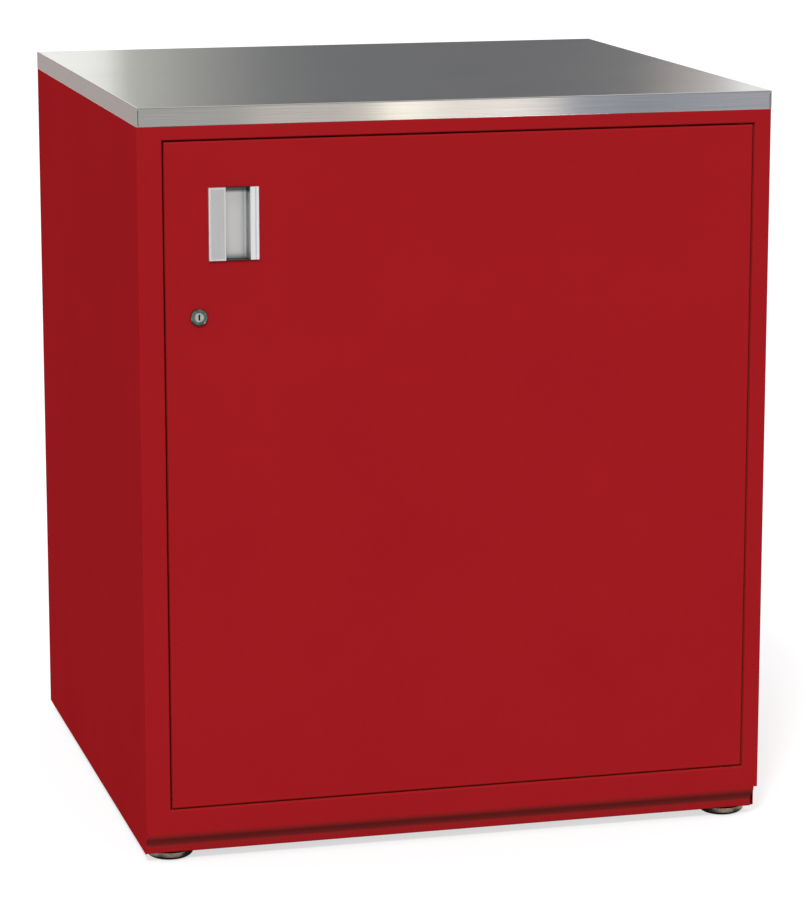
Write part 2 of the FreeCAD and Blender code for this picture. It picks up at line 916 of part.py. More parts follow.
def lock_cam():
    """A flat cam that hangs down when unlocked and swings to the left behind the stop lip."""
    half = cam_width / 2
    half_hole = plug_tail / 2 + press_fit
    hub = inward_rod(half, lock_x, lock_z, cam_front, cam_back)
    blade = box(lock_x - half, lock_x + half, cam_front, cam_back, lock_z - cam_reach, lock_z)
    tip = edges_on(blade, "z", lock_z - cam_reach)
    tip_corners = []
    for edge in blade.Edges:
        ends = [vertex.Point for vertex in edge.Vertexes]
        along_y = abs(ends[0].y - ends[1].y) > cam_sheet / 2
        if along_y and abs(ends[0].z - tip[0].Vertexes[0].Point.z) < 1e-6:
            tip_corners.append(edge)
    blade = blade.makeFillet(half / 2, tip_corners)
    hole = box(lock_x - half_hole, lock_x + half_hole, cam_front - OVERCUT, cam_back + OVERCUT,
               lock_z - half_hole, lock_z + half_hole)
    return hub.fuse(blade).cut(hole)


def cam_screw():
    at = Vector(lock_x, cam_back, lock_z)
    return screw(at, OUTWARD, machine_screw_radius, cam_screw_length, cam_screw_head)


# Catch, strike and bumpers

def catch_screw_places():
    y = catch_front + catch_depth / 2
    return [(catch_x - catch_screw_spread / 2, y), (catch_x + catch_screw_spread / 2, y)]


def magnet_box():
    half_height = magnet_height / 2 + pole_sheet
    middle = head - catch_height / 2
    return box(catch_x - magnet_width / 2, catch_x + magnet_width / 2,
               magnet_face, magnet_face + magnet_depth, middle - half_height, middle + half_height)


def catch_housing():
    half = catch_width / 2
    under = head - catch_height
    housing = box(catch_x - half, catch_x + half, catch_front, catch_front + catch_depth, under, head)
    holes = [magnet_box()]
    for x, y in catch_screw_places():
        holes.append(upright_rod(catch_screw_radius + fit, x, y, under - OVERCUT, head + OVERCUT))
    return cut_all(housing, holes)


def catch_magnet():
    """A magnet between two pole plates that stand a little proud of it towards the strike."""
    middle = head - catch_height / 2
    half = magnet_height / 2
    whole = magnet_box()
    magnet_front = box(catch_x - magnet_width, catch_x + magnet_width, magnet_face - OVERCUT,
                       magnet_face + pole_sheet, middle - half, middle + half)
    return whole.cut(magnet_front)


def catch_screws():
    seat = head - catch_height
    length = catch_height + sheet + catch_screw_past
    return Part.makeCompound([
        screw(Vector(x, y, seat), UP, catch_screw_radius, length, catch_screw_head)
        for x, y in catch_screw_places()
    ])


def strike_rivet_places():
    z = door_top - door_lip / 2
    return [(catch_x - strike_rivet_spread / 2, z), (catch_x + strike_rivet_spread / 2, z)]


def catch_strike():
    z = door_top - door_lip / 2
    plate = box(catch_x - strike_width / 2, catch_x + strike_width / 2, door_back, strike_back,
                z - strike_height / 2, z + strike_height / 2)
    return cut_all(plate, [inward_rod(rivet_radius + press_fit, x, hole_z, front, back)
                           for x, hole_z in strike_rivet_places()])


def strike_rivets():
    rivets = []
    for x, z in strike_rivet_places():
        shank = inward_rod(rivet_radius, x, z, door_back - sheet, strike_back)
        inner_head = inward_rod(rivet_head, x, z, door_back - sheet - rivet_head_height, door_back - sheet)
        outer_head = inward_rod(rivet_head, x, z, strike_back, strike_back + rivet_head_height)
        rivets.append(shank.fuse(inner_head).fuse(outer_head))
    return Part.makeCompound(rivets)


def door_bumpers():
    x = (door_left + opening_left + stop_lip) / 2
    bumpers = []
    for z in (door_bottom + bumper_inset, door_top - bumper_inset):
        bumpers.append(inward_rod(bumper_radius, x, z, door_back + fit, stop_front))
    return Part.makeCompound(bumpers)


# Feet

def foot_pad(x, y):
    """A domed metal pad with a flat sole and a blind socket for the stud."""
    sole = Vector(pad_flat, 0, 0)
    rim = Vector(pad_radius, 0, pad_height - pad_rim)
    along = rim - sole
    bulge = Vector(along.z, 0, -along.x).normalize() * pad_bulge
    dome = Part.Arc(sole, (sole + rim) / 2 + bulge, rim).toShape()
    edges = [
        Part.makeLine(Vector(0, 0, 0), sole),
        dome,
        Part.makeLine(rim, Vector(pad_radius, 0, pad_height)),
        Part.makeLine(Vector(pad_radius, 0, pad_height), Vector(0, 0, pad_height)),
        Part.makeLine(Vector(0, 0, pad_height), Vector(0, 0, 0)),
    ]
    pad = Part.Face(Part.Wire(edges)).revolve(Vector(0, 0, 0), UP, 360)
    pad = pad.cut(upright_rod(stud_radius + running_fit, 0, 0, pad_floor, pad_height + OVERCUT))
    pad.translate(Vector(x, y, 0))
    return pad


def foot_stud(x, y):
    top = stud_bottom + stud_length
    stud = upright_rod(stud_radius, x, y, stud_bottom, top)
    slot = box(x - stud_slot / 2, x + stud_slot / 2, y - stud_radius - OVERCUT, y + stud_radius + OVERCUT,
               top - stud_radius / 2, top + OVERCUT)
    return stud.cut(slot)


def build():
    left_panel = left_side()
    right_panel = right_side()
    sides = [left_panel, right_panel]
    cleat = left_cleat()
    front_standard = left_standard(front_standard_y)
    rear_standard = left_standard(rear_standard_y)
    pieces = {
        "left_side_panel": left_panel,
        "right_side_panel": right_panel,
        "back_panel": back_panel(),
        "floor_pan": floor_pan(sides),
        "floor_plugs": floor_plugs(),
        "front_base_channel": front_base_channel(),
        "rear_base_channel": rear_base_channel(),
        "foot_weld_nuts": weld_nuts(),
        "top_front_rail": top_front_rail(sides),
        "top_rear_rail": top_rear_rail(),
        "top_cleat_left": cleat,
        "top_cleat_right": mirrored(cleat),
        "worktop_skin": worktop_skin(),
        "worktop_core": worktop_core(),
        "worktop_screws": worktop_screws(),
        "shelf_standard_front_left": front_standard,
        "shelf_standard_front_right": mirrored(front_standard),
        "shelf_standard_rear_left": rear_standard,
        "shelf_standard_rear_right": mirrored(rear_standard),
        "shelf": shelf(),
        "shelf_clips": shelf_clips(),
        "catch_housing": catch_housing(),
        "catch_magnet": catch_magnet(),
        "catch_screws": catch_screws(),
        "door_bumpers": door_bumpers(),
        "pivot_pin_bottom": pivot_pin(sill, 1),
        "pivot_pin_top": pivot_pin(head, -1),
        "door_pan": door_pan(),
        "hinge_block_bottom": hinge_block(door_bottom + sheet, door_bottom + block_height),
        "hinge_block_top": hinge_block(door_top - block_height, door_top - sheet),
        "pivot_bush_bottom": pivot_bush(door_bottom, 1),
        "pivot_bush_top": pivot_bush(door_top, -1),
        "pull_body": pull_body(),
        "pull_end_caps": pull_end_caps(),
        "pull_bridges": pull_bridges(),
        "pull_screws": pull_screws(),
        "catch_strike": catch_strike(),
        "strike_rivets": strike_rivets(),
        "lock_barrel": lock_barrel(),
        "lock_nut": lock_nut(),
        "lock_plug": lock_plug(),
        "lock_cam": lock_cam(),
        "cam_screw": cam_screw(),
    }
    for number, inset in enumerate(stiffener_insets, start=1):
        pieces["door_stiffener_%d" % number] = door_stiffener(inset)
    for place, (x, y) in foot_places.items():
        pieces["foot_pad_" + place] = foot_pad(x, y)
        pieces["foot_stud_" + place] = foot_stud(x, y)
    return pieces


os.makedirs("parts", exist_ok=True)
for node, shape in build().items():
    shape.exportStep("parts/%s.step" % node)
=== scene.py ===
import math

import bmesh
import bpy
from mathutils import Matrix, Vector


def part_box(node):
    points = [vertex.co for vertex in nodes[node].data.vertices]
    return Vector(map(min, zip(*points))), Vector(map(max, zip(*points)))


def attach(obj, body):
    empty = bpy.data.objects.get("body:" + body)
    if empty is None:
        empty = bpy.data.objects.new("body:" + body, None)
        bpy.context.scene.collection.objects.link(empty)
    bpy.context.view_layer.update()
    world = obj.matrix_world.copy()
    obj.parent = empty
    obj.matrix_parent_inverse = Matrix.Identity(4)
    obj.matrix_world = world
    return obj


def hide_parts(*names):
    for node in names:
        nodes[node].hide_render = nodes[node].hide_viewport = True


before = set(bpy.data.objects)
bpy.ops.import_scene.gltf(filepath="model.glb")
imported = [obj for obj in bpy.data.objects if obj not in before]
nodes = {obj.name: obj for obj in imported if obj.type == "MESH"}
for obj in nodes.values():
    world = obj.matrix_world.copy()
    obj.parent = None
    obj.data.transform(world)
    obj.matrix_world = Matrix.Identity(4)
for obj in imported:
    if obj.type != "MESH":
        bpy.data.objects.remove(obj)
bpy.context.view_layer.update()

# Camera, in metres and degrees
camera_place = (-1.1096, -4.3090, 1.3290)
camera_yaw = math.radians(14.765)
camera_pitch = math.radians(11.704)
camera_lens = 141.6
camera_reach = 200.0

# Light: the sky light that surfaces receive, one soft sun from the front, and the pale floor
sky_light = 0.86
white_level = 1.0
sun_strength = 1.60
sun_softness = math.radians(8)
sun_direction = (0.36, 0.72, -0.87)
floor_reach = 60.0
floor_grey = 0.40
floor_lift = 0.65
floor_roughness = 0.9

# The flush pull, in metres: how proud it stands, its plate, its lip, made bright by a painted highlight, and
# the groove along the lip, drawn as a line of painted shade
pull_proud = 0.0024
pull_plate = 0.0207
pull_lip = 0.0108
lip_groove_inset = 0.0043
lip_groove_outer = 0.00096
lip_groove_inner = 0.00048

# The painted highlights along the pull's rims: how far in from its edge each begins and is full, in metres
pull_rims = {
    "left": (0.0034, 0.0020),
    "right": (0.0024, 0.0018),
    "upper": (0.0026, 0.0018),
    "lower": (0.0024, 0.0016),
}

# The shade in the pull's trough: how far below its top and beside its lip it begins and is full, in metres
trough_top_shade = (0.0085, 0.0055)
trough_lip_shade = (0.0085, 0.0015)

# The painted shade along the joggle of the kick, a dark stripe where the joggle is in shade: the height of
# its middle and its reach in metres, its strength
painted_shade_band_middle = 0.0270
painted_shade_band_reach = 0.0124
painted_shade_band_share = 0.49

# The threaded studs of the feet, in metres, with the pitch that the record's screw joints have
thread_pitch = 0.0015
thread_depth = 0.0009
thread_rows = 10
thread_sides = 40
stud_bevel = 0.0008
driver_slot_width = 0.0016
driver_slot_depth = 0.0025
foot_places = ("front_left", "front_right", "rear_left", "rear_right")

# The form of the thread, as shares of its pitch from the middle of the crest: where its root begins,
# and how wide the flank is
thread_root_start = 0.375
thread_flank = 0.3125

# The range that noise mostly fills, the rays that one look at an edge or a hollow takes, and how squarely
# a surface faces an axis to count as facing it
noise_low = 0.3
noise_high = 0.7
surface_samples = 6
facing = 0.7

# The sockets of a Mix node, which has several of the same name
mix_number = {"first": 2, "second": 3, "result": 0}
mix_colour = {"first": 6, "second": 7, "result": 2}

# Colours as seen on screen, 0 to 255
coat_colours = {
    "deep": (157, 26, 31),
    "light": (160, 28, 33),
    "fleck": (182, 40, 44),
    "rubbed": (196, 74, 72),
    # Painted shade for corners and recesses and for the kick's joggle, and painted light for narrow gaps
    "hollow": (74, 18, 16),
    "painted_shade_band": (80, 60, 54),
    "painted_gap_light": (212, 74, 60),
}
stainless_colours = {
    "dark": (178, 178, 177),
    "light": (204, 203, 201),
    "wiped": (188, 184, 176),
    "scratch": (222, 221, 218),
}
aluminium_colours = {
    "dark": (199, 200, 202),
    "light": (212, 213, 215),
    "dull": (194, 196, 198),
    # Painted light in the trough and on the lip, and painted shade along the lip's groove
    "trough": (236, 236, 236),
    "lip": (240, 242, 245),
    "groove": (160, 167, 186),
    "rim": (250, 251, 252),
    # Painted shade in the pull's hollows, under the trough's top and beside the lip
    "hollow": (74, 82, 80),
    "trough_top": (50, 62, 55),
    "beside_lip": (84, 93, 90),
}
board_colours = {
    "chip_dark": (176, 142, 98),
    "chip_light": (214, 184, 138),
    "fibre": (136, 102, 64),
    "hollow": (52, 42, 40),
}

# How strongly brushing draws reflections out, and the quarter turn that draws them out across its lines
brush_anisotropy = 0.95
brush_turn = 0.25

# Plated steel and castings, with their colours on screen and their range of roughness, and the share of the
# dark colour that is left in corners, partly tarnishing and partly painted shade
tarnish_and_shade_share = 0.3
plated_finishes = {
    "bright_zinc": {
        "dark": (176, 178, 180), "light": (206, 207, 205), "bright": (232, 232, 228), "rough": (0.28, 0.45),
    },
    # The nickel feet and the lock's ring are tinted dark as painted reflection, standing in for the dark
    # surroundings that polished metal would mirror
    "nickel_plate": {
        "dark": (108, 99, 89), "light": (138, 128, 116), "bright": (168, 157, 144), "rough": (0.22, 0.32),
    },
    "lock_ring": {
        "dark": (72, 90, 82), "light": (120, 140, 132), "bright": (178, 190, 185), "rough": (0.15, 0.24),
    },
    "lock_plug_face": {
        "dark": (176, 178, 176), "light": (206, 208, 206), "bright": (238, 238, 236), "rough": (0.20, 0.34),
    },
    "ground_magnet": {
        "dark": (92, 93, 96), "light": (122, 123, 126), "bright": (160, 160, 162), "rough": (0.35, 0.55),
    },
}

# Mouldings, and pins and bushes drawn dark red as painted shade to match the shade in the door's gaps, with
# the depth of their skin in metres
moulded_finishes = {
    "shade_red_pin": {
        "dark": (88, 19, 16), "light": (104, 24, 20),
        "rough": (0.7, 0.85), "skin_depth": 0.00001, "specular": 0.02,
    },
    "black_moulding": {
        "dark": (30, 30, 31), "light": (58, 58, 60),
        "rough": (0.42, 0.6), "skin_depth": 0.00003, "specular": 0.4,
    },
    "dark_nylon": {
        "dark": (80, 18, 15), "light": (96, 22, 19),
        "rough": (0.7, 0.85), "skin_depth": 0.00002, "specular": 0.02,
    },
    "soft_rubber": {
        "dark": (36, 36, 37), "light": (60, 60, 62),
        "rough": (0.7, 0.88), "skin_depth": 0.00004, "specular": 0.25,
    },
}

# The material of each solid, by words in its name; the rest is powder coat
words_of_material = {
    "powder_coat_kick": ("floor_pan",),
    "brushed_stainless": ("worktop_skin",),
    "chipboard": ("worktop_core",),
    "satin_aluminium": ("pull_body",),
    "lock_ring": ("lock_barrel",),
    "lock_plug_face": ("lock_plug",),
    "nickel_plate": ("foot_pad",),
    "ground_magnet": ("catch_magnet",),
    "black_moulding": ("catch_housing", "pull_end_caps", "floor_plugs"),
    "dark_nylon": ("pivot_bush",),
    "shade_red_pin": ("pivot_pin",),
    "soft_rubber": ("door_bumpers",),
    "bright_zinc": (
        "standard", "clips", "screw", "hinge_block", "bridges", "strike", "rivets",
        "lock_nut", "lock_cam", "foot_stud", "weld_nuts",
    ),
}

# Cards that only reflections see: two opposite corners in metres, the left one first, and the tones along
# the width, each with its place from 0 to 1. A card with level corners lies flat, and the others stand. The
# surrounding ones give metal its lights and darks from every side
card_glow = 2.0
surround_tones = [
    (0.0, (0.90, 0.90, 0.89)), (0.34, (0.58, 0.57, 0.56)), (0.43, (0.33, 0.33, 0.34)),
    (0.51, (0.27, 0.27, 0.29)), (0.60, (0.60, 0.59, 0.58)), (0.74, (0.32, 0.32, 0.34)),
    (0.88, (0.64, 0.63, 0.62)), (1.0, (0.90, 0.90, 0.89)),
]
cards = {
    "back_card": {
        "corners": ((-2.0, 4.0, 0.0), (2.6, 4.0, 6.0)),
        "tones": [
            (0.0, (1.45, 1.45, 1.45)), (0.512, (1.45, 1.45, 1.42)), (0.524, (0.70, 0.71, 0.66)),
            (0.56, (0.445, 0.455, 0.435)), (0.60, (0.24, 0.245, 0.25)), (0.63, (0.180, 0.184, 0.196)),
            (0.70, (0.161, 0.164, 0.183)), (0.806, (0.112, 0.114, 0.130)), (0.820, (0.27, 0.23, 0.225)),
            (0.836, (0.40, 0.35, 0.34)), (0.850, (0.48, 0.44, 0.43)), (0.862, (1.3, 1.3, 1.3)),
        ],
    },
    "front_card": {
        "corners": ((-1.034, -2.6, 0.0), (2.153, -2.6, 1.0)),
        "tones": [
            (0.39, (0.65, 0.65, 0.63)), (0.41, (0.92, 0.87, 0.82)), (0.455, (0.90, 0.85, 0.80)),
            (0.473, (1.20, 1.10, 1.00)), (0.479, (1.90, 1.84, 1.62)), (0.494, (1.86, 1.80, 1.60)),
            (0.515, (1.44, 1.36, 1.28)), (0.555, (1.56, 1.48, 1.40)), (0.572, (1.30, 1.26, 1.22)),
            (0.590, (0.58, 0.60, 0.68)), (0.63, (0.46, 0.49, 0.58)), (0.69, (0.62, 0.63, 0.70)),
        ],
    },
    "high_front_card": {
        "corners": ((-3.5, -3.2, 1.0), (3.5, -3.2, 6.0)),
        "tones": surround_tones,
    },
    "right_side_card": {
        "corners": ((2.5, -3.0, 0.0), (2.7, 3.8, 6.0)),
        "tones": surround_tones,
    },
    "left_side_card": {
        "corners": ((-2.7, -3.0, 0.0), (-2.5, 3.8, 6.0)),
        "tones": surround_tones,
    },
    "left_card": {
        "corners": ((-3.0, 1.5, 0.0), (-0.42, 1.5, 3.0)),
        "tones": [(0.0, (0.53, 0.465, 0.455))],
    },
    # Painted shade: a dark card where the floor under the cabinet is in shade, as reflections see it
    "under_shade_card": {
        "corners": ((-0.381, -0.354, 0.0008), (0.381, 0.36, 0.0008)),
        "tones": [(0.0, (0.03, 0.03, 0.03))],
    },
    "front_floor_card": {
        "corners": ((-1.2, -2.2, 0.0008), (0.6, -0.48, 0.0008)),
        "tones": [(0.0, (0.10, 0.11, 0.11))],
    },
    "glint_card": {
        "corners": ((0.30, -1.60, 0.0012), (0.47, -0.42, 0.0012)),
        "tones": [(0.0, (7.0, 6.4, 6.4))],
    },
}


def tone(red, green, blue):
    """A colour as seen on screen, 0 to 255, as the shader's linear colour."""
    def linear(part):
        share = part / 255
        if share <= 0.04045:
            return share / 12.92
        return ((share + 0.055) / 1.055) ** 2.4
    return (linear(red), linear(green), linear(blue), 1.0)


class Look:
    """A procedural material under construction, in the piece's own coordinates."""

    def __init__(self, name, metal=0.0, specular=0.5):
        self.material = bpy.data.materials.new(name)
        self.material.use_nodes = True
        self.tree = self.material.node_tree
        self.shader = self.tree.nodes["Principled BSDF"]
        self.shader.inputs["Metallic"].default_value = metal
        self.shader.inputs["Specular IOR Level"].default_value = specular
        self.place = self.node("TexCoord").outputs["Object"]

    def node(self, kind, **settings):
        made = self.tree.nodes.new("ShaderNode" + kind)
        for key, value in settings.items():
            setattr(made, key, value)
        return made

    def feed(self, socket, value):
        """Links an output to a socket, or sets a plain number or colour on it."""
        if isinstance(value, bpy.types.NodeSocket):
            self.tree.links.new(value, socket)
        else:
            socket.default_value = value

    def wire(self, made, **inputs):
        for key, value in inputs.items():
            self.feed(made.inputs[key.replace("_", " ")], value)
        return made

    def grain(self, size, stretch=(1, 1, 1), detail=3.0, rough=0.55):
        """Noise whose features are about that many metres across, drawn out along an axis by stretch."""
        mapped = self.node("Mapping")
        self.feed(mapped.inputs["Vector"], self.place)
        mapped.inputs["Scale"].default_value = [1 / (size * along) for along in stretch]
        made = self.node("TexNoise")
        self.wire(made, Vector=mapped.outputs["Vector"], Scale=1.0, Detail=detail, Roughness=rough)
        return made.outputs["Fac"]

    def cells(self, size, output="Distance"):
        """Cells of about that many metres, each with its own colour and the distance from its middle."""
        made = self.node("TexVoronoi")
        self.wire(made, Vector=self.place, Scale=1 / size)
        return made.outputs[output]

    def spread(self, value, low, high, to_low=0.0, to_high=1.0, kind="LINEAR"):
        """A value taken from one range to another, and held at its ends."""
        made = self.node("MapRange", interpolation_type=kind)
        self.wire(made, Value=value, From_Min=low, From_Max=high, To_Min=to_low, To_Max=to_high)
        return made.outputs["Result"]

    def stretched(self, noise, to_low=0.0, to_high=1.0):
        """Noise taken from the range that it mostly fills to another."""
        return self.spread(noise, noise_low, noise_high, to_low, to_high)

    def clouds(self, size, **settings):
        """Soft patches of about that many metres, from 0 to 1."""
        return self.stretched(self.grain(size, **settings))

    def maths(self, operation, first, second=0.0):
        made = self.node("Math", operation=operation)
        self.feed(made.inputs[0], first)
        self.feed(made.inputs[1], second)
        return made.outputs["Value"]

    def both(self, first, second):
        """Where two masks meet."""
        return self.maths("MULTIPLY", first, second)

    def weakened(self, mask, share):
        """A mask at a share of its strength."""
        return self.maths("MULTIPLY", mask, share)

    def most(self, *masks):
        """The strongest of several masks."""
        total = masks[0]
        for mask in masks[1:]:
            total = self.maths("MAXIMUM", total, mask)
        return total

    def blend(self, kind, sockets, share, first, second):
        made = self.node("Mix", data_type=kind)
        self.feed(made.inputs[0], share)
        self.feed(made.inputs[sockets["first"]], first)
        self.feed(made.inputs[sockets["second"]], second)
        return made.outputs[sockets["result"]]

    def choose(self, share, first, second):
        """One number where the share is 0 and another where it is 1."""
        return self.blend("FLOAT", mix_number, share, first, second)

    def between(self, share, first, second):
        """A colour between two on-screen colours."""
        return self.blend("RGBA", mix_colour, share, tone(*first), tone(*second))

    def tint(self, base, mask, colour, share=1.0):
        """The base colour drawn towards an on-screen colour where the mask is 1, by that share at most."""
        if share < 1.0:
            mask = self.weakened(mask, share)
        return self.blend("RGBA", mix_colour, mask, base, tone(*colour))

    def along(self, axis):
        """The place along an axis, in metres."""
        split = self.node("SeparateXYZ")
        self.feed(split.inputs[0], self.place)
        return split.outputs[axis]

    def off(self, axis, middle):
        """The distance from a place along an axis, in metres."""
        return self.maths("ABSOLUTE", self.maths("SUBTRACT", self.along(axis), middle))

    def normal_part(self, axis):
        """How squarely the surface faces along that axis, 0 to 1."""
        split = self.node("SeparateXYZ")
        self.feed(split.inputs[0], self.node("NewGeometry").outputs["Normal"])
        return self.maths("ABSOLUTE", split.outputs[axis])

    def rounded(self, radius):
        """The normal with its edges rounded over by that radius."""
        made = self.node("Bevel", samples=surface_samples)
        made.inputs["Radius"].default_value = radius
        return made.outputs["Normal"]

    def edge(self, radius, low=0.02, high=0.25):
        """1 along sharp edges and 0 on flat faces."""
        along = self.node("VectorMath", operation="DOT_PRODUCT")
        self.feed(along.inputs[0], self.rounded(radius))
        self.feed(along.inputs[1], self.node("NewGeometry").outputs["Normal"])
        return self.spread(self.maths("SUBTRACT", 1.0, along.outputs["Value"]), low, high)

    def hollow(self, reach):
        """1 in corners and recesses and 0 on open faces, where shade falls."""
        made = self.node("AmbientOcclusion", samples=surface_samples)
        made.inputs["Distance"].default_value = reach
        return self.maths("SUBTRACT", 1.0, made.outputs["AO"])

    def relief(self, height, depth, under=None):
        """Bump of that depth in metres, over another normal."""
        made = self.node("Bump")
        self.wire(made, Height=height, Distance=depth, Strength=1.0)
        if under is not None:
            self.feed(made.inputs["Normal"], under)
        return made.outputs["Normal"]

    def finish(self, colour, roughness, normal):
        self.feed(self.shader.inputs["Base Color"], colour)
        self.feed(self.shader.inputs["Roughness"], roughness)
        self.feed(self.shader.inputs["Normal"], normal)
        return self.material


def powder_coat(name, shade_banded=False):
    """Matt red powder coat: fine orange peel, faint cloudiness, edges rubbed a little paler, painted shade in
    corners and recesses, and painted light in narrow gaps.
    """
    look = Look(name, specular=0.0)
    cloud = look.clouds(size=0.16, detail=4.0)
    speck = look.spread(look.grain(size=0.0009, detail=1.0), low=0.35, high=0.75)
    patchy = look.spread(look.grain(size=0.012, detail=5.0, rough=0.7), low=0.46, high=0.7)
    rub = look.both(look.edge(radius=0.0014), patchy)
    # Painted shade: darker in corners and recesses, where shade falls
    recess = look.spread(look.hollow(reach=0.025), low=0.2, high=0.8, to_high=0.3)
    # Painted light: paler deep in narrow gaps, lifting their shade
    painted_gap_light = look.spread(look.hollow(reach=0.005), low=0.5, high=0.8)
    colour = look.between(cloud, coat_colours["deep"], coat_colours["light"])
    colour = look.tint(colour, speck, coat_colours["fleck"], share=0.12)
    colour = look.tint(colour, rub, coat_colours["rubbed"], share=0.25)
    colour = look.tint(colour, recess, coat_colours["hollow"])
    # Painted shade: a dark stripe along the kick's joggle
    if shade_banded:
        painted_shade_band = look.spread(look.off("Z", painted_shade_band_middle), painted_shade_band_reach, 0.0, to_high=painted_shade_band_share, kind="SMOOTHSTEP")
        colour = look.tint(colour, painted_shade_band, coat_colours["painted_shade_band"])
    colour = look.tint(colour, painted_gap_light, coat_colours["painted_gap_light"])
    roughness = look.stretched(look.grain(size=0.03, detail=4.0), to_low=0.46, to_high=0.58)
    peel = look.maths("ADD", look.grain(size=0.0022, detail=1.0), look.weakened(cloud, share=0.2))
    normal = look.relief(peel, depth=0.00003, under=look.rounded(radius=0.0005))
    return look.finish(colour, roughness, normal)


def brushed_stainless():
    """Stainless brushed along each edge's length, finer on its edges, with scratches and a cloudy wipe."""
    look = Look("brushed_stainless", metal=1.0)
    sideways = look.maths("GREATER_THAN", look.normal_part("X"), facing)
    upright = look.maths("LESS_THAN", look.normal_part("Z"), facing)
    along_x = look.grain(size=0.0006, stretch=(220, 1, 1), detail=4.0, rough=0.6)
    along_y = look.grain(size=0.0006, stretch=(1, 220, 1), detail=4.0, rough=0.6)
    brush = look.choose(sideways, along_x, along_y)
    cloud = look.clouds(size=0.09, stretch=(1.6, 1, 1), detail=5.0)
    scratch = look.spread(look.grain(size=0.0011, stretch=(60, 1, 1), detail=2.0), low=0.70, high=0.78)
    colour = look.between(look.stretched(brush), stainless_colours["dark"], stainless_colours["light"])
    colour = look.tint(colour, cloud, stainless_colours["wiped"], share=0.2)
    colour = look.tint(colour, scratch, stainless_colours["scratch"], share=0.35)
    top_rough = look.stretched(brush, to_low=0.17, to_high=0.22)
    edge_rough = look.stretched(brush, to_low=0.09, to_high=0.13)
    wiped_rough = look.weakened(cloud, share=0.01)
    roughness = look.maths("ADD", look.choose(upright, top_rough, edge_rough), wiped_rough)
    tangent = look.node("CombineXYZ")
    look.feed(tangent.inputs["X"], look.maths("SUBTRACT", 1.0, sideways))
    look.feed(tangent.inputs["Y"], sideways)
    look.feed(look.shader.inputs["Tangent"], tangent.outputs["Vector"])
    look.shader.inputs["Anisotropic"].default_value = brush_anisotropy
    look.shader.inputs["Anisotropic Rotation"].default_value = brush_turn
    normal = look.relief(brush, depth=0.000006, under=look.rounded(radius=0.0006))
    return look.finish(colour, roughness, normal)


def pull_rim_mask(look, low, high):
    """1 along the four rims of the pull's plate and beyond its right one, where highlights are painted."""
    edges = {
        "left": ("X", low[0], 1),
        "right": ("X", low[0] + pull_plate, -1),
        "upper": ("Z", high[2], -1),
        "lower": ("Z", low[2], 1),
    }
    masks = []
    for side, (axis, edge, inward) in edges.items():
        begins, full = pull_rims[side]
        masks.append(look.spread(look.along(axis), edge + inward * begins, edge + inward * full))
    return look.most(*masks)


def satin_aluminium():
    """Anodised extrusion: fine lines along its length, painted highlights on its rims and lip, a trough
    painted lighter, and painted shade in its hollows, under the trough's top, beside the lip and along the
    lip's groove.
    """
    look = Look("satin_aluminium", metal=0.85)
    low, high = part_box("pull_body")
    lip_start = high[0] - pull_lip
    lines = look.grain(size=0.0005, stretch=(1, 1, 160), detail=3.0)
    cloud = look.clouds(size=0.02, stretch=(1, 1, 3), detail=4.0)
    proud = look.maths("LESS_THAN", look.along("Y"), low[1] + pull_proud)
    inside = look.maths("SUBTRACT", 1.0, proud)
    lip = look.maths("GREATER_THAN", look.along("X"), lip_start)
    groove = look.spread(look.off("X", high[0] - lip_groove_inset), lip_groove_outer, lip_groove_inner)
    # Painted highlights: the pull's rounded rims and edges drawn near-white
    bent = look.both(proud, look.spread(look.normal_part("Y"), low=0.97, high=0.80))
    rim = look.both(proud, pull_rim_mask(look, low, high))
    sharp = look.most(rim, bent, look.edge(radius=0.0016))
    # Painted shade: darker in hollows, under the trough's top and beside the lip
    recess = look.spread(look.hollow(reach=0.012), low=0.35, high=0.95, to_high=0.26)
    begins, full = trough_top_shade
    under_top = look.both(inside, look.spread(look.along("Z"), high[2] - begins, high[2] - full))
    begins, full = trough_lip_shade
    beside_lip = look.both(inside, look.spread(look.along("X"), lip_start - begins, lip_start - full))
    colour = look.between(look.stretched(lines), aluminium_colours["dark"], aluminium_colours["light"])
    colour = look.tint(colour, cloud, aluminium_colours["dull"], share=0.3)
    # Painted light: the trough lighter and the lip near-white; the groove a line of painted shade
    colour = look.tint(colour, inside, aluminium_colours["trough"], share=0.45)
    colour = look.tint(colour, lip, aluminium_colours["lip"])
    colour = look.tint(colour, groove, aluminium_colours["groove"], share=0.9)
    colour = look.tint(colour, sharp, aluminium_colours["rim"], share=0.5)
    colour = look.tint(colour, recess, aluminium_colours["hollow"])
    colour = look.tint(colour, under_top, aluminium_colours["trough_top"], share=0.85)
    colour = look.tint(colour, beside_lip, aluminium_colours["beside_lip"], share=0.24)
    roughness = look.stretched(lines, to_low=0.32, to_high=0.44)
    normal = look.relief(lines, depth=0.000008, under=look.rounded(radius=0.0006))
    return look.finish(colour, roughness, normal)


